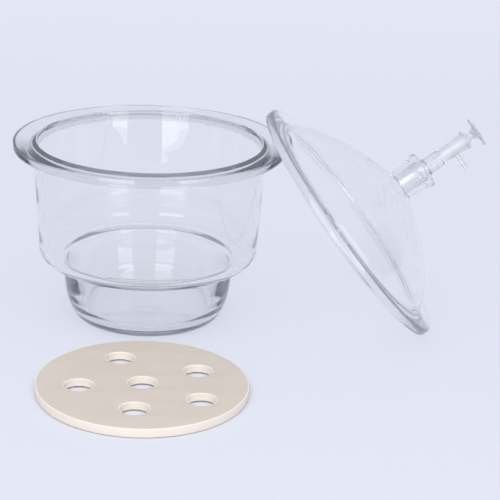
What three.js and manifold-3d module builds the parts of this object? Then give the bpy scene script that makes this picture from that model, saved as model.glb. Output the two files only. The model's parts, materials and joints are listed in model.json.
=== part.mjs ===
// Glass desiccator: a stepped glass jar, a domed lid with a ground stopcock, and a porcelain plate.
// Millimetres, +Z up, origin at the centre of the jar's foot. The jar stands open, the lid leans
// on its rim with one edge on the table, and the perforated plate lies on the table in front.

import * as THREE from 'three';
import { mergeVertices } from 'three/addons/utils/BufferGeometryUtils.js';
import Module from 'manifold-3d';

// ---- driving dimensions ----

const TURN_STEPS = 48; // facets round the big turned pieces
const SMALL_STEPS = 24; // facets round the stopcock pieces
const ARC_STEPS = 4; // straight steps in one rounded corner
const RUNNING_GAP = 0.3; // clearance left where two pieces meet

const FLANGE_RADIUS = 139;
const FLANGE_THICKNESS = 9.4;
const GROUND_INNER_RADIUS = 116; // inner edge of the ground sealing face
const GROUND_EDGE = 1.5; // rounding of the ground face's outer edge
const FLANGE_EDGE = 3.5; // rounding of the flange's back edge

const JAR_HEIGHT = 188;
const JAR_TOP_RADIUS = 118; // outside, just under the flange
const SHOULDER_RADIUS = 113; // outside, at the top of the shoulder
const SHOULDER_CORNER = 13.5;
const SHOULDER_FLOOR = 60.5; // underside of the shoulder
const WAIST_RADIUS = 88.5; // outside of the desiccant well under the shoulder
const FOOT_RADIUS = 71; // flat part of the foot
const FOOT_CORNER = 10;

// The jar's inside, from the rim down: nearly even walls, a ledge as thick as the wall that the
// plate's edge rests on, and a well that narrows to its floor. Radius and height of each ring.
const JAR_INSIDE = [
  [GROUND_INNER_RADIUS, 188], [114.6, 186.4], [113.8, 182], [113, 174], [112.4, 160],
  [111.5, 140], [110.3, 120], [108.9, 95], [107.8, 82], [107.3, 75.5], [105.8, 71.5],
  [103, 68.8], [99.5, 67.6], [95.5, 66.7], [91.3, 65.7], [88.2, 64.4], [85.8, 62],
  [84.4, 58.5], [83.8, 54], [82, 46], [79.9, 37], [77.5, 27], [74.5, 19], [70.5, 12.5],
  [66, 8.8], [61, 6.9], [54, 6.2], [0, 6],
];

const LID_LEAN = 39; // degrees that the lid's axis rises above the table
const LID_TURN = 1.3; // degrees that the lid's axis turns towards the back
const LID_SIDESTEP = -4;
const LID_WALL = 5;
const DOME_RADIUS = 142; // radius of the dome's outer arc
const DOME_ROOT_RADIUS = 118;
const DOME_ROOT_HEIGHT = 10.5;
const DOME_ROOT_SLOPE = 50; // degrees
const DOME_TOP_SLOPE = 21; // degrees; the cone above the arc keeps this slope
const NECK_RADIUS = 17;
const BOSS_TOP = 100;
const BOSS_BEAD_RADIUS = 19.6;
const SOCKET_TOP_RADIUS = 12;
const SOCKET_BOTTOM_RADIUS = 10.5;
const SOCKET_BOTTOM = 70;

const CONE_WALL = 3;
const TUBE_RADIUS = 8.4;
const TUBE_TOP = 117.5;
const BARREL_BOTTOM = 119.5;
const BARREL_TOP = 151;
const BARREL_BOTTOM_RADIUS = 7;
const BARREL_TOP_RADIUS = 8.9;
const BARREL_WALL = 1.6;
const LIP_RADIUS = 10.2;
const PORT_HEIGHT = 133.3; // where the hose arm meets the barrel
const ARM_REACH = 27.5; // from the barrel's axis to the arm's tip
const ARM_ROOT_RADIUS = 3.6;
const ARM_TIP_RADIUS = 3;
const PORT_RADIUS = 1.5;

const STEM_RADIUS = 4.4;
const KEY_BORE_RADIUS = 2.6;
const HANDLE_RADIUS = 15.4;
const HANDLE_HEIGHT = 163.3; // widest ring of the handle
const HANDLE_TOP = 166;

const PLATE_RADIUS = 100.6;
const PLATE_THICKNESS = 8.8;
const PLATE_EDGE = 0.8;
const PLATE_FOOT_WIDTH = 8; // ring left standing under the plate's rim
const PLATE_FOOT_HEIGHT = 1.2;
const PLATE_HOLE_RADIUS = 13.75;
const PLATE_X = 10;
const PLATE_Y = -202;
// the outer holes were punched by hand: angle in degrees and distance from the centre
const PLATE_HOLES = [[32, 60], [115, 61], [191, 60], [267, 58], [330, 66]];

// ---- shared helpers ----

const wasm = await Module();
wasm.setup();

const radians = THREE.MathUtils.degToRad;
const point = (r, z) => new THREE.Vector2(r, z);

// Points of an arc in the profile plane, from one angle to another, in degrees.
function arc(centreR, centreZ, radius, from, to, steps = ARC_STEPS) {
  const points = [];
  for (let i = 0; i <= steps; i += 1) {
    const angle = radians(from + ((to - from) * i) / steps);
    points.push(point(centreR + radius * Math.cos(angle), centreZ + radius * Math.sin(angle)));
  }
  return points;
}

function signedVolume(geometry) {
  const position = geometry.attributes.position;
  const index = geometry.index.array;
  const a = new THREE.Vector3();
  const b = new THREE.Vector3();
  const c = new THREE.Vector3();
  let volume = 0;
  for (let i = 0; i < index.length; i += 3) {
    a.fromBufferAttribute(position, index[i]);
    b.fromBufferAttribute(position, index[i + 1]);
    c.fromBufferAttribute(position, index[i + 2]);
    volume += a.dot(b.cross(c)) / 6;
  }
  return volume;
}

// Keeps only merged positions, and turns the faces outwards.
function closed(geometry) {
  geometry.deleteAttribute('normal');
  geometry.deleteAttribute('uv');
  const merged = mergeVertices(geometry, 1e-4);
  const kept = [];
  const index = merged.index.array;
  for (let i = 0; i < index.length; i += 3) {
    const [a, b, c] = [index[i], index[i + 1], index[i + 2]];
    if (a !== b && b !== c && c !== a) kept.push(a, b, c);
  }
  merged.setIndex(kept);
  if (signedVolume(merged) < 0) merged.setIndex(kept.reverse());
  return merged;
}

// Turns a profile of (radius, height) points about the Z axis.
function turned(profile, steps) {
  const geometry = new THREE.LatheGeometry(profile, steps);
  geometry.rotateX(Math.PI / 2);
  return closed(geometry);
}

function toSolid(geometry) {
  const vertProperties = new Float32Array(geometry.attributes.position.array);
  const triVerts = new Uint32Array(geometry.index.array);
  return new wasm.Manifold(new wasm.Mesh({ numProp: 3, vertProperties, triVerts }));
}

function toGeometry(solid) {
  const mesh = solid.getMesh();
  const geometry = new THREE.BufferGeometry();
  geometry.setAttribute('position', new THREE.BufferAttribute(mesh.vertProperties, 3));
  geometry.setIndex(new THREE.BufferAttribute(mesh.triVerts, 1));
  return geometry;
}

// A round rod, slightly tapered if the two radii differ, from one height to another on Z.
function rod(bottomRadius, topRadius, bottom, top, steps = SMALL_STEPS) {
  const geometry = new THREE.CylinderGeometry(topRadius, bottomRadius, top - bottom, steps);
  geometry.rotateX(Math.PI / 2);
  geometry.translate(0, 0, (bottom + top) / 2);
  return closed(geometry);
}

// A rod lying along -X at a given height, from a start to an end distance off the axis.
function sideRod(startRadius, endRadius, start, end, height) {
  const geometry = rod(startRadius, endRadius, start, end, 16);
  geometry.rotateY(-Math.PI / 2);
  geometry.translate(0, 0, height);
  return toSolid(geometry);
}

function meshOf(name, geometry, material) {
  const mesh = new THREE.Mesh(geometry, material);
  mesh.name = name;
  return mesh;
}

// ---- materials ----

const clearGlass = new THREE.MeshStandardMaterial({ color: 0xd8deea, roughness: 0.05, metalness: 0 });
const lidGlass = new THREE.MeshStandardMaterial({ color: 0xdadfe8, roughness: 0.05, metalness: 0 });
const stopcockGlass = new THREE.MeshStandardMaterial({ color: 0xeceade, roughness: 0.35, metalness: 0 });
const keyGlass = new THREE.MeshStandardMaterial({ color: 0xe6e8ea, roughness: 0.2, metalness: 0 });
const porcelain = new THREE.MeshStandardMaterial({ color: 0xe6dccb, roughness: 0.4, metalness: 0 });

// ---- jar ----

function jarOutside() {
  const underside = JAR_HEIGHT - FLANGE_THICKNESS;
  const cornerR = SHOULDER_RADIUS - SHOULDER_CORNER;
  const cornerZ = SHOULDER_FLOOR + 1.5 + SHOULDER_CORNER;
  return [
    point(0, 0),
    point(FOOT_RADIUS - 3, 0),
    ...arc(FOOT_RADIUS - 3, FOOT_CORNER + 1, FOOT_CORNER + 1, -70, -28),
    point(83, 18),
    point(86, 32),
    point(WAIST_RADIUS - 0.4, SHOULDER_FLOOR - 8),
    ...arc(WAIST_RADIUS + 3, SHOULDER_FLOOR - 3.5, 3, 180, 100),
    ...arc(cornerR, cornerZ, SHOULDER_CORNER, -84, -3, 6),
    point((SHOULDER_RADIUS + JAR_TOP_RADIUS) / 2, 120),
    point(JAR_TOP_RADIUS, underside - 12),
    ...arc(JAR_TOP_RADIUS + 4.3, underside - 4.5, 4, 180, 95),
    ...arc(FLANGE_RADIUS - FLANGE_EDGE, underside + FLANGE_EDGE, FLANGE_EDGE, -90, 0),
    ...arc(FLANGE_RADIUS - GROUND_EDGE, JAR_HEIGHT - GROUND_EDGE, GROUND_EDGE, 0, 90, 3),
  ];
}

// ---- lid, in its own frame: ground face at z = 0, dome towards +Z ----

function lidOutside() {
  const arcR = DOME_ROOT_RADIUS - DOME_RADIUS * Math.sin(radians(DOME_ROOT_SLOPE));
  const arcZ = DOME_ROOT_HEIGHT - DOME_RADIUS * Math.cos(radians(DOME_ROOT_SLOPE));
  const dome = arc(arcR, arcZ, DOME_RADIUS, 90 - DOME_ROOT_SLOPE, 90 - DOME_TOP_SLOPE, 8);
  const domeTop = dome[dome.length - 1];
  const coneRise = (domeTop.x - NECK_RADIUS - 2) * Math.tan(radians(DOME_TOP_SLOPE));
  const neck = domeTop.y + coneRise;
  return [
    point(GROUND_INNER_RADIUS, 0),
    ...arc(FLANGE_RADIUS - GROUND_EDGE, GROUND_EDGE, GROUND_EDGE, -90, 0, 3),
    ...arc(FLANGE_RADIUS - FLANGE_EDGE, FLANGE_THICKNESS - FLANGE_EDGE, FLANGE_EDGE, 0, 90),
    point(DOME_ROOT_RADIUS + 3, FLANGE_THICKNESS + 0.4),
    ...dome,
    point(NECK_RADIUS + 2, neck),
    point(NECK_RADIUS - 0.5, neck + 2),
    point(NECK_RADIUS, BOSS_TOP - 14),
    ...arc(BOSS_BEAD_RADIUS - 3.6, BOSS_TOP - 4, 3.8, -45, 80, 5),
    point(SOCKET_TOP_RADIUS + 1, BOSS_TOP),
  ];
}

function lidInside() {
  const arcR = DOME_ROOT_RADIUS - DOME_RADIUS * Math.sin(radians(DOME_ROOT_SLOPE));
  const arcZ = DOME_ROOT_HEIGHT - DOME_RADIUS * Math.cos(radians(DOME_ROOT_SLOPE));
  const inner = DOME_RADIUS - LID_WALL;
  const dome = arc(arcR, arcZ, inner, 90 - DOME_TOP_SLOPE, 90 - DOME_ROOT_SLOPE + 2, 8);
  const domeTop = dome[0];
  const throat = SOCKET_BOTTOM_RADIUS + 4;
  const throatZ = domeTop.y + (domeTop.x - throat) * Math.tan(radians(DOME_TOP_SLOPE));
  return [
    point(SOCKET_TOP_RADIUS, BOSS_TOP - 0.8),
    point(SOCKET_BOTTOM_RADIUS, SOCKET_BOTTOM),
    point(SOCKET_BOTTOM_RADIUS, throatZ + 3),
    point(throat, throatZ),
    ...dome,
    point(GROUND_INNER_RADIUS - 2.2, 3.4),
    point(GROUND_INNER_RADIUS - 0.7, 1),
    point(GROUND_INNER_RADIUS, 0),
  ];
}

// ---- stopcock body, in the lid's frame ----

const socketRadius = (z) => {
  const taper = (SOCKET_TOP_RADIUS - SOCKET_BOTTOM_RADIUS) / (BOSS_TOP - SOCKET_BOTTOM);
  return SOCKET_BOTTOM_RADIUS + (z - SOCKET_BOTTOM) * taper;
};

const barrelRadius = (z) => {
  const taper = (BARREL_TOP_RADIUS - BARREL_BOTTOM_RADIUS) / (BARREL_TOP - BARREL_BOTTOM);
  return BARREL_BOTTOM_RADIUS + (z - BARREL_BOTTOM) * taper;
};

function stopcockOutside() {
  const bottom = SOCKET_BOTTOM + 1;
  const lip = BARREL_TOP - 2;
  return [
    point(0, bottom),
    point(socketRadius(bottom) - RUNNING_GAP, bottom),
    point(socketRadius(BOSS_TOP - 1) - RUNNING_GAP, BOSS_TOP - 1),
    point(TUBE_RADIUS + 1, BOSS_TOP + 1.5),
    point(TUBE_RADIUS, BOSS_TOP + 4),
    point(TUBE_RADIUS, TUBE_TOP - 1),
    point(TUBE_RADIUS - 0.5, TUBE_TOP + 1),
    point(BARREL_BOTTOM_RADIUS, BARREL_BOTTOM),
    point(barrelRadius(lip - 2), lip - 2),
    ...arc(LIP_RADIUS - 1.9, lip, 1.9, -60, 90, 5),
    point(0, lip + 1.9),
  ];
}

function stopcockBore() {
  const coneBore = SOCKET_BOTTOM_RADIUS - CONE_WALL;
  return [
    point(0, SOCKET_BOTTOM - 1),
    point(coneBore, SOCKET_BOTTOM - 1),
    point(coneBore, BOSS_TOP - 3),
    point(TUBE_RADIUS - 1.9, BOSS_TOP + 3),
    point(TUBE_RADIUS - 1.9, TUBE_TOP - 2),
    point(BARREL_BOTTOM_RADIUS - BARREL_WALL, BARREL_BOTTOM),
    point(barrelRadius(BARREL_TOP + 1) - BARREL_WALL, BARREL_TOP + 1),
    point(0, BARREL_TOP + 1),
  ];
}

function stopcockBody() {
  const outside = toSolid(turned(stopcockOutside(), SMALL_STEPS));
  const arm = sideRod(ARM_ROOT_RADIUS, ARM_TIP_RADIUS, 5, ARM_REACH, PORT_HEIGHT);
  const bore = toSolid(turned(stopcockBore(), SMALL_STEPS));
  const armBore = sideRod(PORT_RADIUS, PORT_RADIUS, 0, ARM_REACH + 1, PORT_HEIGHT);
  return toGeometry(outside.add(arm).subtract(bore).subtract(armBore));
}

// ---- stopcock key, in the lid's frame ----

function keyOutside() {
  const bottom = BARREL_BOTTOM + 2;
  const plug = (z) => barrelRadius(z) - BARREL_WALL - RUNNING_GAP;
  return [
    point(0, bottom),
    point(plug(bottom), bottom),
    point(plug(BARREL_TOP), BARREL_TOP),
    point(STEM_RADIUS, BARREL_TOP + 2.5),
    point(STEM_RADIUS, HANDLE_HEIGHT - 6),
    point(STEM_RADIUS + 1.6, HANDLE_HEIGHT - 3),
    point(STEM_RADIUS + 5, HANDLE_HEIGHT - 1.4),
    point(HANDLE_RADIUS - 0.4, HANDLE_HEIGHT - 0.8),
    ...arc(HANDLE_RADIUS - 0.8, HANDLE_HEIGHT, 0.8, -45, 90, 3),
    point(HANDLE_RADIUS - 6, HANDLE_TOP - 0.7),
    point(0, HANDLE_TOP),
  ];
}

function stopcockKey() {
  const outside = toSolid(turned(keyOutside(), SMALL_STEPS));
  const hollow = toSolid(rod(KEY_BORE_RADIUS, KEY_BORE_RADIUS, BARREL_BOTTOM, BARREL_TOP - 6, 16));
  const port = sideRod(PORT_RADIUS, PORT_RADIUS, 0, BARREL_TOP_RADIUS, PORT_HEIGHT);
  return toGeometry(outside.subtract(hollow).subtract(port));
}

// ---- perforated plate ----

function perforatedPlate() {
  const footRadius = PLATE_RADIUS - PLATE_FOOT_WIDTH;
  const profile = [
    point(0, PLATE_FOOT_HEIGHT),
    point(footRadius, PLATE_FOOT_HEIGHT),
    point(footRadius + 0.8, 0),
    ...arc(PLATE_RADIUS - PLATE_EDGE, PLATE_EDGE, PLATE_EDGE, -90, 0, 2),
    ...arc(PLATE_RADIUS - PLATE_EDGE, PLATE_THICKNESS - PLATE_EDGE, PLATE_EDGE, 0, 90, 2),
    point(0, PLATE_THICKNESS),
  ];
  let plate = toSolid(turned(profile, TURN_STEPS));
  const places = [[0, 0], ...PLATE_HOLES];
  for (const [angle, distance] of places) {
    const hole = rod(PLATE_HOLE_RADIUS, PLATE_HOLE_RADIUS, -1, PLATE_THICKNESS + 1);
    hole.translate(distance * Math.cos(radians(angle)), distance * Math.sin(radians(angle)), 0);
    plate = plate.subtract(toSolid(hole));
  }
  return toGeometry(plate);
}

// ---- assembly ----

// The lid's frame: its flange edge on the table and its ground face against the jar's rim.
function placeLid(group) {
  const rise = Math.sin(radians(LID_LEAN));
  const run = Math.cos(radians(LID_LEAN));
  const edge = FLANGE_RADIUS - GROUND_EDGE;
  const height = GROUND_EDGE + edge * run - GROUND_EDGE * rise;
  const rimReach = edge * run + (JAR_HEIGHT - GROUND_EDGE) * rise + GROUND_EDGE + RUNNING_GAP;
  const turn = radians(LID_TURN);
  const across = LID_SIDESTEP * run * Math.sin(turn);
  const distance = (rimReach - height * rise - across) / (run * Math.cos(turn));
  group.position.set(distance, LID_SIDESTEP, height);
  group.rotation.set(0, radians(90 - LID_LEAN), turn, 'ZYX');
}

const desiccator = new THREE.Group();

const jarProfile = [...jarOutside(), ...JAR_INSIDE.map(([r, z]) => point(r, z))];
desiccator.add(meshOf('jar', turned(jarProfile, TURN_STEPS), clearGlass));

const lidGroup = new THREE.Group();
placeLid(lidGroup);
const lidProfile = [...lidOutside(), ...lidInside()];
lidGroup.add(meshOf('lid', turned(lidProfile, TURN_STEPS), lidGlass));

const stopcockGroup = new THREE.Group();
stopcockGroup.rotation.z = Math.PI;
stopcockGroup.add(meshOf('stopcock_body', stopcockBody(), stopcockGlass));
stopcockGroup.add(meshOf('stopcock_key', stopcockKey(), keyGlass));
lidGroup.add(stopcockGroup);
desiccator.add(lidGroup);

const plate = meshOf('perforated_plate', perforatedPlate(), porcelain);
plate.position.set(PLATE_X, PLATE_Y, 0);
desiccator.add(plate);

export default desiccator;
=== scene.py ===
import json
import math

import bmesh
import bpy
from mathutils import Matrix, Vector


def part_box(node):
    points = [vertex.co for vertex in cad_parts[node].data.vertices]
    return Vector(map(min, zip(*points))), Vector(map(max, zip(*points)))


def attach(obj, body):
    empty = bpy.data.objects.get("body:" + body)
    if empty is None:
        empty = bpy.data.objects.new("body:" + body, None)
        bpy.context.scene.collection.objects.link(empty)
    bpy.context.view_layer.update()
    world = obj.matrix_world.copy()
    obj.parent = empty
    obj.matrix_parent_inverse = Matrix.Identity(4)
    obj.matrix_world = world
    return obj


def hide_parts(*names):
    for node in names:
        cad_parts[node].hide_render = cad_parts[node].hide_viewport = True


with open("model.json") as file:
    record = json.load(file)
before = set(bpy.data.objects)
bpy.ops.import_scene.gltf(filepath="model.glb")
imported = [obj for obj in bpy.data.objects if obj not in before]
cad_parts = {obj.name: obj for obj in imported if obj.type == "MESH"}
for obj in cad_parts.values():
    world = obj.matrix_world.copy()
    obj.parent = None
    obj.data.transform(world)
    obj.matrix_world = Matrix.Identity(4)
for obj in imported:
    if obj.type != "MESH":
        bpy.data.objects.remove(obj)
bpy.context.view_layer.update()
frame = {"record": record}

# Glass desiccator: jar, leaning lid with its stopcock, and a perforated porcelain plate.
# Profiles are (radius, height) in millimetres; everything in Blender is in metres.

MM = 0.001

# ---- places and sizes from the frame ----

JOINTS = {joint["name"]: joint for joint in frame["record"]["behaviour"]["joints"]}


def size_mm(node):
    """A node's box at rest, as its low corner, high corner and centre, in millimetres."""
    low, high = (Vector(corner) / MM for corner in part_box(node))
    return low, high, (low + high) / 2


JAR_LOW, JAR_HIGH, _ = size_mm("jar")
PLATE_LOW, PLATE_HIGH, PLATE_CENTRE = size_mm("perforated_plate")
FLANGE_RADIUS = (JAR_HIGH.x - JAR_LOW.x) / 2
JAR_HEIGHT = JAR_HIGH.z - JAR_LOW.z
PLATE_RADIUS = (PLATE_HIGH.x - PLATE_LOW.x) / 2
PLATE_THICKNESS = PLATE_HIGH.z - PLATE_LOW.z


def lid_place():
    """The lid's frame: Z along its axis, X down the slope of its ground face."""
    turn = JOINTS["stopcock_turn"]
    along = Vector(turn["axis"]).normalized()
    level = Vector((0, 0, 1)).cross(along).normalized()
    down = level.cross(along)
    rows = Matrix((down, level, along)).transposed()
    return Matrix.Translation(Vector(turn["pos_m"])) @ rows.to_4x4()


LID_PLACE = lid_place()

# ---- sizes of the pieces, in millimetres ----

FLANGE_THICKNESS = 9.4
GROUND_INNER = 116  # inner edge of the ground sealing face
GROUND_EDGE = 1.5  # rounding of the ground face's outer edge
FLANGE_EDGE = 3.5  # rounding of the flange's back edge

JAR_TOP_RADIUS = 118  # outside, just under the flange
SHOULDER_RADIUS = 113  # outside, at the top of the shoulder
SHOULDER_CORNER = 13.5
SHOULDER_FLOOR = 60.5  # underside of the shoulder
WAIST_RADIUS = 88.5  # outside of the well, just under the shoulder
FOOT_RADIUS = 71  # flat part of the foot
FOOT_CORNER = 10

# rings of the jar's inside below the rim, radius and height: walls, ledge, well and floor
JAR_INSIDE = [
    (114.6, 186.4), (113.8, 182), (113, 174), (112.4, 160), (111.5, 140), (110.3, 120), (108.9, 95),
    (107.8, 82), (107.3, 75.5), (105.8, 71.5), (103, 68.8), (99.5, 67.6), (95.5, 66.7), (91.3, 65.7),
    (88.2, 64.4), (85.8, 62), (84.4, 58.5), (83.8, 54), (82, 46), (79.9, 37), (77.5, 27), (74.5, 19),
    (70.5, 12.5), (66, 8.8), (61, 6.9), (54, 6.2), (30, 6),
]

LID_WALL = 5
DOME_RADIUS = 142  # of the dome's outer arc
DOME_ROOT_RADIUS = 118
DOME_ROOT_HEIGHT = 10.5
DOME_ROOT_SLOPE = 50  # degrees
DOME_TOP_SLOPE = 21  # degrees, which the cone above the arc keeps
NECK_RADIUS = 17
BOSS_TOP = 100
BOSS_BEAD = 19.6
SOCKET_TOP = 12
SOCKET_BOTTOM = 10.5
SOCKET_DEPTH = 30

CONE_WALL = 3
TUBE_RADIUS = 8.4
TUBE_WALL = 1.9
TUBE_TOP = 117.5
BARREL_BOTTOM = 119.5
BARREL_TOP = 151
BARREL_BOTTOM_RADIUS = 7
BARREL_TOP_RADIUS = 8.9
BARREL_WALL = 1.6
LIP_RADIUS = 10.2
PORT_HEIGHT = 133.3  # where the hose arm meets the barrel
ARM_REACH = 27.5  # from the barrel's axis to the arm's tip
ARM_ROOT_RADIUS = 3.6
ARM_TIP_RADIUS = 3
PORT_RADIUS = 1.5
GAP = 0.3  # clearance in the ground joints

STEM_RADIUS = 4.4
KEY_BORE = 2.6
HANDLE_RADIUS = 15.4
HANDLE_HEIGHT = 163.3  # widest ring of the handle
HANDLE_TOP = 166

PLATE_EDGE = 0.8
PLATE_FOOT_WIDTH = 8  # ring left standing under the plate's rim
PLATE_FOOT_HEIGHT = 1.2
PLATE_FOOT_SLOPE = 1.6  # how far the cutter under the plate widens as it goes down
PLATE_CUT = 1.2  # how far the same cutter reaches below the plate
PLATE_SHARP_EDGE = 30  # degrees
PLATE_HOLE = 13.75
# angle in degrees and distance from the centre
PLATE_HOLES = [(0, 0), (32, 60), (115, 61), (191, 60), (267, 58), (330, 66)]

# ---- camera ----

CAMERA_AT = (0.1061, -1.6326, 0.6584)
CAMERA_PITCH = 19.73  # degrees below level
CAMERA_ROLL = 2.33
CAMERA_LENS = 119.7
SENSOR_WIDTH = 36


def add_camera():
    data = bpy.data.cameras.new("camera")
    data.lens = CAMERA_LENS
    data.sensor_width = SENSOR_WIDTH
    camera = bpy.data.objects.new("camera", data)
    tilt = Matrix.Rotation(math.radians(90 - CAMERA_PITCH), 4, "X")
    roll = Matrix.Rotation(math.radians(CAMERA_ROLL), 4, "Z")
    camera.matrix_world = Matrix.Translation(CAMERA_AT) @ tilt @ roll
    bpy.context.collection.objects.link(camera)
    bpy.context.scene.camera = camera


# ---- profile and mesh helpers ----

BIG_STEPS = 192  # facets round the big turned pieces
SMALL_STEPS = 96  # facets round the stopcock pieces
ROD_STEPS = 32
HOLE_STEPS = 64
SAME_POINT = 1e-4
SHARP_EDGE = 35  # degrees; edges bent more than this stay sharp


def arc(centre_r, centre_z, radius, start, end, steps=10):
    """Points of an arc in the profile plane, from one angle to another, in degrees."""
    points = []
    for i in range(steps + 1):
        angle = math.radians(start + (end - start) * i / steps)
        points.append((centre_r + radius * math.cos(angle), centre_z + radius * math.sin(angle)))
    return points


def curve(points, steps=8):
    """A smooth curve through given points (Catmull-Rom), ends included."""
    ends = [points[0], *points, points[-1]]
    result = []
    for i in range(len(points) - 1):
        a, b, c, d = (Vector(p) for p in ends[i:i + 4])
        for k in range(steps):
            t = k / steps
            p = 0.5 * (2 * b + (c - a) * t + (2 * a - 5 * b + 4 * c - d) * t * t
                       + (3 * b - a - 3 * c + d) * t ** 3)
            result.append((p.x, p.y))
    result.append(tuple(points[-1]))
    return result


def flatten(stretches):
    """Joins (finish, points) stretches into one list of (radius, height, finish)."""
    joined = []
    for finish, points in stretches:
        for r, z in points:
            if joined and math.hypot(joined[-1][0] - r, joined[-1][1] - z) < SAME_POINT:
                continue
            joined.append((r, z, finish))
    if math.hypot(joined[0][0] - joined[-1][0], joined[0][1] - joined[-1][1]) < SAME_POINT:
        joined.pop()
    return joined


def turned_mesh(stretches, steps):
    """A bmesh turned about Z; each face's "ground" value is its stretch's finish, 0 for polished."""
    mesh = bmesh.new()
    ground = mesh.faces.layers.float.new("ground")
    rings = []
    profile = flatten(stretches)
    for r, z, _ in profile:
        if r < SAME_POINT:
            rings.append([mesh.verts.new((0, 0, z * MM))])
            continue
        ring = []
        for k in range(steps):
            angle = 2 * math.pi * k / steps
            ring.append(mesh.verts.new((r * MM * math.cos(angle), r * MM * math.sin(angle), z * MM)))
        rings.append(ring)
    for i in range(len(rings)):
        low, high = rings[i - 1], rings[i]
        if len(low) == 1 and len(high) == 1:
            continue
        for k in range(steps):
            corners = [low[k % len(low)], low[(k + 1) % len(low)]]
            corners += [high[(k + 1) % len(high)], high[k % len(high)]]
            face = mesh.faces.new(dict.fromkeys(corners))
            face[ground] = profile[i][2]
    bmesh.ops.recalc_face_normals(mesh, faces=mesh.faces)
    return mesh


def shade(data, sharp=SHARP_EDGE):
    data.shade_smooth()
    data.set_sharp_from_angle(angle=math.radians(sharp))


def to_object(name, mesh, place, materials, sharp=SHARP_EDGE):
    """Links a bmesh as a smooth-shaded object whose place is baked into its mesh."""
    data = bpy.data.meshes.new(name)
    mesh.transform(place)
    mesh.to_mesh(data)
    mesh.free()
    for material in materials:
        data.materials.append(material)
    shade(data, sharp)
    piece = bpy.data.objects.new(name, data)
    bpy.context.collection.objects.link(piece)
    return piece


def stand_for(piece, node, body):
    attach(piece, body)
    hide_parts(node)


def cut(piece, cutter, mode="DIFFERENCE"):
    """Applies one exact boolean to a piece and removes the cutter."""
    step = piece.modifiers.new("cut", "BOOLEAN")
    step.operation = mode
    step.solver = "EXACT"
    step.material_mode = "TRANSFER"
    step.object = cutter
    graph = bpy.context.evaluated_depsgraph_get()
    made = bpy.data.meshes.new_from_object(piece.evaluated_get(graph))
    piece.modifiers.clear()
    piece.data = made
    bpy.data.objects.remove(cutter)


# ---- material helpers ----

GLASS_TINT = (0.995, 0.998, 0.998)
GLASS_DEPTH = (0, 0.06, 0.14)  # tint of light that has gone a long way in the glass
GLASS_IOR = 1.48
POLISHED = 0.01  # roughness
GLANCING_LIGHT = 0.97  # share of the light let through at a glancing angle


def new_material(name):
    material = bpy.data.materials.new(name)
    material.use_nodes = True
    return material, material.node_tree.nodes, material.node_tree.links


def noise_node(nodes, links, scale, detail):
    """3-D noise on the object's own coordinates, in cycles a metre."""
    place = nodes.new("ShaderNodeTexCoord")
    texture = nodes.new("ShaderNodeTexNoise")
    texture.inputs["Scale"].default_value = scale
    texture.inputs["Detail"].default_value = detail
    links.new(place.outputs["Object"], texture.inputs["Vector"])
    return texture


def add_bump(nodes, links, height, strength, distance, before=None):
    bump = nodes.new("ShaderNodeBump")
    bump.inputs["Strength"].default_value = strength
    bump.inputs["Distance"].default_value = distance
    links.new(height, bump.inputs["Height"])
    if before is not None:
        links.new(before.outputs["Normal"], bump.inputs["Normal"])
    return bump


def let_light_through(nodes, links):
    """Lets light through a glass surface to the table, less of it at a glancing angle."""
    facing = nodes.new("ShaderNodeLayerWeight")
    facing.inputs["Blend"].default_value = 0.5
    ramp = nodes.new("ShaderNodeValToRGB")
    ramp.color_ramp.elements[0].position = 0.35
    ramp.color_ramp.elements[0].color = (1, 1, 1, 1)
    ramp.color_ramp.elements[1].position = 0.95
    ramp.color_ramp.elements[1].color = (GLANCING_LIGHT, GLANCING_LIGHT, GLANCING_LIGHT, 1)
    links.new(facing.outputs["Facing"], ramp.inputs["Fac"])
    through = nodes.new("ShaderNodeBsdfTransparent")
    links.new(ramp.outputs["Color"], through.inputs["Color"])
    path = nodes.new("ShaderNodeLightPath")
    surface = nodes["Principled BSDF"].outputs["BSDF"]
    for ray in ("Is Shadow Ray", "Is Diffuse Ray"):
        mix = nodes.new("ShaderNodeMixShader")
        links.new(path.outputs[ray], mix.inputs["Fac"])
        links.new(surface, mix.inputs[1])
        links.new(through.outputs["BSDF"], mix.inputs[2])
        surface = mix.outputs["Shader"]
    links.new(surface, nodes["Material Output"].inputs["Surface"])


def drive(nodes, links, value, start, end, socket):
    """Drives a shader's socket from one number to another as a value goes from 0 to 1."""
    scale = nodes.new("ShaderNodeMapRange")
    scale.inputs["To Min"].default_value = start
    scale.inputs["To Max"].default_value = end
    links.new(value, scale.inputs["Value"])
    links.new(scale.outputs["Result"], socket)


def glass(name, absorption, ground_roughness, milk=0, wave=0.2):
    """Wavy glass that greys over a long way through it, matt and a little milky where ground."""
    material, nodes, links = new_material(name)
    let_light_through(nodes, links)
    shader = nodes["Principled BSDF"]
    shader.inputs["Base Color"].default_value = (*GLASS_TINT, 1)
    shader.inputs["IOR"].default_value = GLASS_IOR
    where = nodes.new("ShaderNodeAttribute")
    where.attribute_name = "ground"
    matt = where.outputs["Fac"]
    drive(nodes, links, matt, POLISHED, ground_roughness, shader.inputs["Roughness"])
    shader.inputs["Transmission Weight"].default_value = 1
    if milk:
        drive(nodes, links, matt, 1, 1 - milk, shader.inputs["Transmission Weight"])
    ripple = noise_node(nodes, links, 18, 1)
    bump = add_bump(nodes, links, ripple.outputs["Fac"], wave, 0.001)
    links.new(bump.outputs["Normal"], shader.inputs["Normal"])
    body = nodes.new("ShaderNodeVolumeAbsorption")
    body.inputs["Color"].default_value = (*GLASS_DEPTH, 1)
    body.inputs["Density"].default_value = absorption
    links.new(body.outputs["Volume"], nodes["Material Output"].inputs["Volume"])
    return material


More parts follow.
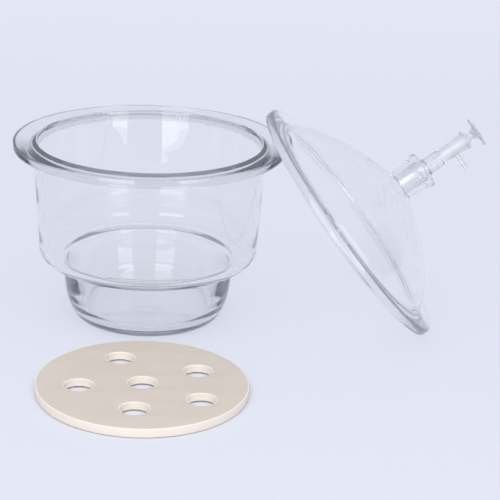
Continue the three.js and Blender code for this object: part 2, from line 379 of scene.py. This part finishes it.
def porcelain(name, light, dark, roughness):
    """Fired porcelain: faint mottling, tiny specks and a slightly uneven surface."""
    material, nodes, links = new_material(name)
    shader = nodes["Principled BSDF"]
    mottle = noise_node(nodes, links, 45, 4)
    ramp = nodes.new("ShaderNodeValToRGB")
    ramp.color_ramp.elements[0].position = 0.3
    ramp.color_ramp.elements[0].color = (*dark, 1)
    ramp.color_ramp.elements[1].position = 0.7
    ramp.color_ramp.elements[1].color = (*light, 1)
    links.new(mottle.outputs["Fac"], ramp.inputs["Fac"])
    links.new(ramp.outputs["Color"], shader.inputs["Base Color"])
    shader.inputs["Roughness"].default_value = roughness
    shader.inputs["Specular IOR Level"].default_value = 0.4
    grain = noise_node(nodes, links, 900, 3)
    fine = add_bump(nodes, links, grain.outputs["Fac"], 0.12, 0.0003)
    swell = noise_node(nodes, links, 25, 1)
    broad = add_bump(nodes, links, swell.outputs["Fac"], 0.1, 0.002, fine)
    links.new(broad.outputs["Normal"], shader.inputs["Normal"])
    return material


# ---- jar ----


def jar_profile():
    under = JAR_HEIGHT - FLANGE_THICKNESS
    corner_r = SHOULDER_RADIUS - SHOULDER_CORNER
    corner_z = SHOULDER_FLOOR + 1.5 + SHOULDER_CORNER
    outside = [(0, 0)]
    outside += arc(FOOT_RADIUS - 3, FOOT_CORNER + 1, FOOT_CORNER + 1, -90, -28, 16)
    well = [(77.71, 5.84), (83, 18), (86, 32), (WAIST_RADIUS - 0.4, SHOULDER_FLOOR - 8)]
    outside += curve(well)[1:]
    outside += arc(WAIST_RADIUS + 3, SHOULDER_FLOOR - 3.5, 3, 180, 95)
    outside += arc(corner_r, corner_z, SHOULDER_CORNER, -84, -3, 20)
    outside += [((SHOULDER_RADIUS + JAR_TOP_RADIUS) / 2, 120), (JAR_TOP_RADIUS, under - 12)]
    outside += arc(JAR_TOP_RADIUS + 4.3, under - 4.5, 4, 180, 95)
    outside += arc(FLANGE_RADIUS - FLANGE_EDGE, under + FLANGE_EDGE, FLANGE_EDGE, -90, 0)
    outside += arc(FLANGE_RADIUS - GROUND_EDGE, JAR_HEIGHT - GROUND_EDGE, GROUND_EDGE, 0, 90, 6)
    face = [(GROUND_INNER, JAR_HEIGHT)]
    inside = curve([(GROUND_INNER, JAR_HEIGHT), *JAR_INSIDE, (0, 6)])
    return [(0, outside), (1, face), (0, inside)]


def add_jar(material):
    mesh = turned_mesh(jar_profile(), BIG_STEPS)
    piece = to_object("jar_glass", mesh, Matrix.Identity(4), [material])
    stand_for(piece, "jar", "jar")


# ---- lid ----


def lid_profile():
    centre_r = DOME_ROOT_RADIUS - DOME_RADIUS * math.sin(math.radians(DOME_ROOT_SLOPE))
    centre_z = DOME_ROOT_HEIGHT - DOME_RADIUS * math.cos(math.radians(DOME_ROOT_SLOPE))
    slope = math.tan(math.radians(DOME_TOP_SLOPE))
    dome = arc(centre_r, centre_z, DOME_RADIUS, 90 - DOME_ROOT_SLOPE, 90 - DOME_TOP_SLOPE, 24)
    neck = dome[-1][1] + (dome[-1][0] - NECK_RADIUS - 2) * slope
    outside = arc(FLANGE_RADIUS - GROUND_EDGE, GROUND_EDGE, GROUND_EDGE, -90, 0, 6)
    outside += arc(FLANGE_RADIUS - FLANGE_EDGE, FLANGE_THICKNESS - FLANGE_EDGE, FLANGE_EDGE, 0, 90)
    outside += [(DOME_ROOT_RADIUS + 3, FLANGE_THICKNESS + 0.4)]
    outside += dome
    outside += [(NECK_RADIUS + 2, neck), (NECK_RADIUS - 0.5, neck + 2), (NECK_RADIUS, BOSS_TOP - 14)]
    outside += arc(BOSS_BEAD - 3.6, BOSS_TOP - 4, 3.8, -45, 80, 12)
    outside += [(SOCKET_TOP + 1, BOSS_TOP)]
    socket_low = BOSS_TOP - SOCKET_DEPTH
    inner = arc(centre_r, centre_z, DOME_RADIUS - LID_WALL, 90 - DOME_TOP_SLOPE,
                90 - DOME_ROOT_SLOPE + 2, 24)
    throat = SOCKET_BOTTOM + 4
    throat_z = inner[0][1] + (inner[0][0] - throat) * slope
    socket = [(SOCKET_TOP, BOSS_TOP - 0.8), (SOCKET_BOTTOM, socket_low)]
    inside = [(SOCKET_BOTTOM, throat_z + 3), (throat, throat_z), *inner]
    inside += [(GROUND_INNER - 2.2, 3.4), (GROUND_INNER - 0.7, 1), (GROUND_INNER, 0)]
    face = [(FLANGE_RADIUS - GROUND_EDGE, 0)]
    return [(0, outside), (0, socket), (0, inside), (1, face)]


def add_lid(material):
    mesh = turned_mesh(lid_profile(), BIG_STEPS)
    piece = to_object("lid_glass", mesh, LID_PLACE, [material])
    stand_for(piece, "lid", "lid")


# ---- stopcock ----


def socket_radius(z):
    low = BOSS_TOP - SOCKET_DEPTH
    return SOCKET_BOTTOM + (z - low) * (SOCKET_TOP - SOCKET_BOTTOM) / SOCKET_DEPTH


def barrel_radius(z):
    taper = (BARREL_TOP_RADIUS - BARREL_BOTTOM_RADIUS) / (BARREL_TOP - BARREL_BOTTOM)
    return BARREL_BOTTOM_RADIUS + (z - BARREL_BOTTOM) * taper


def stopcock_profile():
    low = BOSS_TOP - SOCKET_DEPTH + 1
    lip = BARREL_TOP - 2
    bore = SOCKET_BOTTOM - CONE_WALL
    tube_bore = TUBE_RADIUS - TUBE_WALL
    cone = [(bore, low), (socket_radius(low) - GAP, low)]
    cone += [(socket_radius(BOSS_TOP - 1) - GAP, BOSS_TOP - 1)]
    tube = curve([(TUBE_RADIUS + 1, BOSS_TOP + 1.5), (TUBE_RADIUS, BOSS_TOP + 4)], 6)
    tube += [(TUBE_RADIUS, TUBE_TOP), (TUBE_RADIUS - 0.5, TUBE_TOP + 1)]
    tube += [(BARREL_BOTTOM_RADIUS, BARREL_BOTTOM)]
    barrel = [(barrel_radius(lip - 2), lip - 2)]
    lip_bead = arc(LIP_RADIUS - 1.9, lip, 1.9, -60, 90, 10)
    barrel_bore = [(barrel_radius(lip + 1.9) - BARREL_WALL, lip + 1.9)]
    barrel_bore += [(BARREL_BOTTOM_RADIUS - BARREL_WALL, BARREL_BOTTOM)]
    bore_wall = [(tube_bore, TUBE_TOP - 2), (tube_bore, BOSS_TOP + 3), (bore, BOSS_TOP - 3), (bore, low)]
    return [(0.3, cone), (0, tube), (1, barrel), (0, lip_bead), (1, barrel_bore), (0, bore_wall)]


def side_rod(start_radius, end_radius, start, end, material):
    """A rod along the lid frame's X axis at the port's height."""
    profile = [(0, start), (start_radius, start), (end_radius, end), (0, end)]
    mesh = turned_mesh([(0, profile)], ROD_STEPS)
    lie_down = Matrix.Translation((0, 0, PORT_HEIGHT * MM)) @ Matrix.Rotation(math.pi / 2, 4, "Y")
    return to_object("side_rod", mesh, LID_PLACE @ lie_down, [material])


def add_stopcock(material):
    mesh = turned_mesh(stopcock_profile(), SMALL_STEPS)
    piece = to_object("stopcock_glass", mesh, LID_PLACE, [material])
    cut(piece, side_rod(ARM_ROOT_RADIUS, ARM_TIP_RADIUS, 6.2, ARM_REACH, material), "UNION")
    cut(piece, side_rod(PORT_RADIUS, PORT_RADIUS, 2, ARM_REACH + 1, material))
    shade(piece.data)
    stand_for(piece, "stopcock_body", "stopcock_body")


def key_profile():
    low = BARREL_BOTTOM + 2
    inner = BARREL_WALL + GAP
    plug = [(KEY_BORE, low), (barrel_radius(low) - inner, low)]
    plug += [(barrel_radius(BARREL_TOP) - inner, BARREL_TOP)]
    stem = [(STEM_RADIUS, BARREL_TOP + 2.5), (STEM_RADIUS, HANDLE_HEIGHT - 6)]
    stem += curve([(STEM_RADIUS, HANDLE_HEIGHT - 6), (STEM_RADIUS + 1.6, HANDLE_HEIGHT - 3),
                   (STEM_RADIUS + 5, HANDLE_HEIGHT - 1.4),
                   (HANDLE_RADIUS - 0.4, HANDLE_HEIGHT - 0.8)], 6)
    stem += arc(HANDLE_RADIUS - 0.8, HANDLE_HEIGHT, 0.8, -45, 90, 8)
    stem += [(HANDLE_RADIUS - 6, HANDLE_TOP - 0.7), (0, HANDLE_TOP)]
    hollow = [(0, BARREL_TOP - 6), (KEY_BORE, BARREL_TOP - 6), (KEY_BORE, low)]
    return [(1, plug), (0, stem), (0, hollow)]


def add_key(material):
    mesh = turned_mesh(key_profile(), SMALL_STEPS)
    piece = to_object("key_glass", mesh, LID_PLACE, [material])
    cut(piece, side_rod(PORT_RADIUS, PORT_RADIUS, 0, BARREL_TOP_RADIUS, material))
    shade(piece.data)
    stand_for(piece, "stopcock_key", "stopcock_key")


# ---- perforated plate ----


def add_circle(curve_data, x, y, radius, steps):
    spline = curve_data.splines.new("POLY")
    spline.points.add(steps - 1)
    spline.use_cyclic_u = True
    for k, spot in enumerate(spline.points):
        angle = 2 * math.pi * k / steps
        spot.co = (x + radius * math.cos(angle), y + radius * math.sin(angle), 0, 1)


def add_plate(face, wall):
    outline = bpy.data.curves.new("plate_outline", "CURVE")
    outline.dimensions = "2D"
    outline.fill_mode = "BOTH"
    outline.extrude = (PLATE_THICKNESS / 2 - PLATE_EDGE) * MM
    outline.bevel_depth = PLATE_EDGE * MM
    outline.bevel_resolution = 4
    add_circle(outline, 0, 0, (PLATE_RADIUS - PLATE_EDGE) * MM, BIG_STEPS)
    for angle, distance in PLATE_HOLES:
        x = distance * MM * math.cos(math.radians(angle))
        y = distance * MM * math.sin(math.radians(angle))
        add_circle(outline, x, y, (PLATE_HOLE + PLATE_EDGE) * MM, HOLE_STEPS)
    maker = bpy.data.objects.new("plate_maker", outline)
    bpy.context.collection.objects.link(maker)
    graph = bpy.context.evaluated_depsgraph_get()
    data = bpy.data.meshes.new_from_object(maker.evaluated_get(graph))
    bpy.data.objects.remove(maker)
    mesh = bmesh.new()
    mesh.from_mesh(data)
    bmesh.ops.remove_doubles(mesh, verts=mesh.verts, dist=1e-6)
    bmesh.ops.recalc_face_normals(mesh, faces=mesh.faces)
    # flat top and bottom faces take the first material, a copy of the porcelain darkened and greyed as
    # painted shade; walls and rounded edges take the second
    for one in mesh.faces:
        one.material_index = 0 if abs(one.normal.z) > 0.99 else 1
    place = Matrix.Translation(PLATE_CENTRE * MM)
    piece = to_object("porcelain_plate", mesh, place, [face, wall], PLATE_SHARP_EDGE)
    foot = PLATE_RADIUS - PLATE_FOOT_WIDTH
    hollow = [(0, -PLATE_CUT), (foot + PLATE_FOOT_SLOPE, -PLATE_CUT)]
    hollow += [(foot, PLATE_FOOT_HEIGHT), (0, PLATE_FOOT_HEIGHT)]
    under = Matrix.Translation(Vector((PLATE_CENTRE.x, PLATE_CENTRE.y, PLATE_LOW.z)) * MM)
    cut(piece, to_object("plate_hollow", turned_mesh([(0, hollow)], BIG_STEPS), under, [wall]))
    shade(piece.data, PLATE_SHARP_EDGE)
    stand_for(piece, "perforated_plate", "plate")


# ---- floor and light ----

FLOOR_GAP = 0.0004  # the table lies this far below the object, in metres
TABLE_EDGE = -0.62
TABLE_REACH = 8
FLOOR = (0.62, 0.63, 0.665)

ROOM_FRONT = (0.6, 0.62, 0.7)
ROOM_LIGHT = (0.72, 0.745, 0.865)
ROOM_DARK = (0.2, 0.22, 0.25)
ROOM_TURN = (-0.5, 0.2)  # Y of the directions between which the room goes from front to light
ROOM_SIDE = (0.8, 0.97)  # X of the directions between which it darkens to the sides
ROOM_SIDE_DARK = 0.8

FILL = 2.15
FILL_COLOR = (0.97, 0.97, 1)
FILL_TILT = 40  # degrees from straight down
FILL_SPREAD = 60  # degrees

WINDOW = 20  # watts for each metre of a window's width
WINDOW_DISTANCE = 2
WINDOW_MIDDLE = 0.3
WINDOW_TALL = 2.5
WINDOW_AIM = (0, 0, 0.1)
# name, direction in degrees from straight in front, and width
WINDOWS = [("window_left", -23, 1.03), ("window_right", 39.5, 0.8)]

POOL_X = 0.1
POOL_HEIGHT = 1
# lamps that light the table alone: name, distance from the jar, size and power
POOLS = [("pool_near", -0.8, (2.4, 0.6), 2.2), ("pool_far", 2.1, (4, 1.4), 3)]


def add_floor(name, near, far, material):
    """One rectangle of the table top, between two distances from the middle of the jar."""
    mesh = bmesh.new()
    corners = [(-TABLE_REACH, near), (TABLE_REACH, near), (TABLE_REACH, far), (-TABLE_REACH, far)]
    mesh.faces.new([mesh.verts.new((x, y, 0)) for x, y in corners])
    data = bpy.data.meshes.new(name)
    mesh.to_mesh(data)
    mesh.free()
    data.materials.append(material)
    floor = bpy.data.objects.new(name, data)
    floor.location.z = -FLOOR_GAP
    bpy.context.collection.objects.link(floor)
    return floor


def floor_paper():
    material, nodes, _ = new_material("floor")
    shader = nodes["Principled BSDF"]
    shader.inputs["Base Color"].default_value = (*FLOOR, 1)
    shader.inputs["Roughness"].default_value = 0.9
    shader.inputs["Specular IOR Level"].default_value = 0.1
    return material


def add_table():
    """For the glass the table ends in front of the plate, so that it mirrors the windows beyond."""
    paper = floor_paper()
    add_floor("floor", TABLE_EDGE, TABLE_REACH, paper)
    front = add_floor("floor_front", -TABLE_REACH, TABLE_EDGE, paper)
    front.visible_glossy = False
    front.visible_transmission = False
    front.visible_shadow = False


def add_area(name, at, aim, size, power):
    data = bpy.data.lights.new(name, "AREA")
    data.shape = "RECTANGLE"
    data.size, data.size_y = size
    data.energy = power
    lamp = bpy.data.objects.new(name, data)
    lamp.location = at
    toward = Vector(aim) - Vector(at)
    lamp.rotation_mode = "QUATERNION"
    lamp.rotation_quaternion = toward.to_track_quat("-Z", "Y")
    bpy.context.collection.objects.link(lamp)
    return lamp


def smooth_step(nodes, links, value, limits):
    step = nodes.new("ShaderNodeMapRange")
    step.interpolation_type = "SMOOTHSTEP"
    step.inputs["From Min"].default_value, step.inputs["From Max"].default_value = limits
    links.new(value, step.inputs["Value"])
    return step


def add_room():
    """A pale room, a little darker in front and much darker far to the sides."""
    world = bpy.data.worlds.new("world")
    bpy.context.scene.world = world
    world.use_nodes = True
    nodes, links = world.node_tree.nodes, world.node_tree.links
    place = nodes.new("ShaderNodeTexCoord")
    split = nodes.new("ShaderNodeSeparateXYZ")
    links.new(place.outputs["Generated"], split.inputs["Vector"])
    around = smooth_step(nodes, links, split.outputs["Y"], ROOM_TURN)
    room = nodes.new("ShaderNodeValToRGB")
    room.color_ramp.elements[0].color = (*ROOM_FRONT, 1)
    room.color_ramp.elements[1].color = (*ROOM_LIGHT, 1)
    links.new(around.outputs["Result"], room.inputs["Fac"])
    across = nodes.new("ShaderNodeMath")
    across.operation = "ABSOLUTE"
    links.new(split.outputs["X"], across.inputs[0])
    side = smooth_step(nodes, links, across.outputs["Value"], ROOM_SIDE)
    side.inputs["To Max"].default_value = ROOM_SIDE_DARK
    mix = nodes.new("ShaderNodeMix")
    mix.data_type = "RGBA"
    links.new(side.outputs["Result"], mix.inputs["Factor"])
    links.new(room.outputs["Color"], mix.inputs["A"])
    mix.inputs["B"].default_value = (*ROOM_DARK, 1)
    links.new(mix.outputs["Result"], nodes["Background"].inputs["Color"])


def hide_from_glass(lamp):
    lamp.visible_glossy = False
    lamp.visible_transmission = False


def add_fill():
    data = bpy.data.lights.new("fill", "SUN")
    data.energy = FILL
    data.angle = math.radians(FILL_SPREAD)
    data.color = FILL_COLOR
    fill = bpy.data.objects.new("fill", data)
    fill.rotation_euler.x = math.radians(FILL_TILT)
    hide_from_glass(fill)
    bpy.context.collection.objects.link(fill)


def add_lamps():
    """Two windows that only the glass mirrors, and two pools of light on the table."""
    for name, direction, width in WINDOWS:
        turn = math.radians(direction)
        at = (WINDOW_DISTANCE * math.sin(turn), -WINDOW_DISTANCE * math.cos(turn), WINDOW_MIDDLE)
        window = add_area(name, at, WINDOW_AIM, (width, WINDOW_TALL), WINDOW * width)
        window.visible_diffuse = False
    for name, y, size, power in POOLS:
        pool = add_area(name, (POOL_X, y, POOL_HEIGHT), (POOL_X, y, 0), size, power)
        hide_from_glass(pool)


# ---- build ----

BOUNCES = 160  # thick glass rims go black with fewer

jar_glass = glass("jar_glass", 5.5, 0.1)
lid_glass = glass("lid_glass", 2.6, 0.5, 0.25)
stopcock_glass = glass("stopcock_glass", 16, 0.4, 0.08, 0.03)
# the flat faces' porcelain is the wall porcelain darker and greyer: painted shade, with the same
# mottling and specks
plate_face_painted_shade = porcelain("plate_face_painted_shade", (0.575, 0.507, 0.424), (0.55, 0.483, 0.4), 0.5)
plate_wall = porcelain("plate_wall", (0.84, 0.765, 0.655), (0.81, 0.73, 0.615), 0.35)

add_camera()
add_table()
add_room()
add_fill()
add_lamps()
add_jar(jar_glass)
add_lid(lid_glass)
add_stopcock(stopcock_glass)
add_key(stopcock_glass)
add_plate(plate_face_painted_shade, plate_wall)

bpy.context.scene.view_settings.view_transform = "Standard"
cycles = bpy.context.scene.cycles
cycles.max_bounces = BOUNCES
cycles.transmission_bounces = BOUNCES
cycles.transparent_max_bounces = BOUNCES
cycles.glossy_bounces = BOUNCES
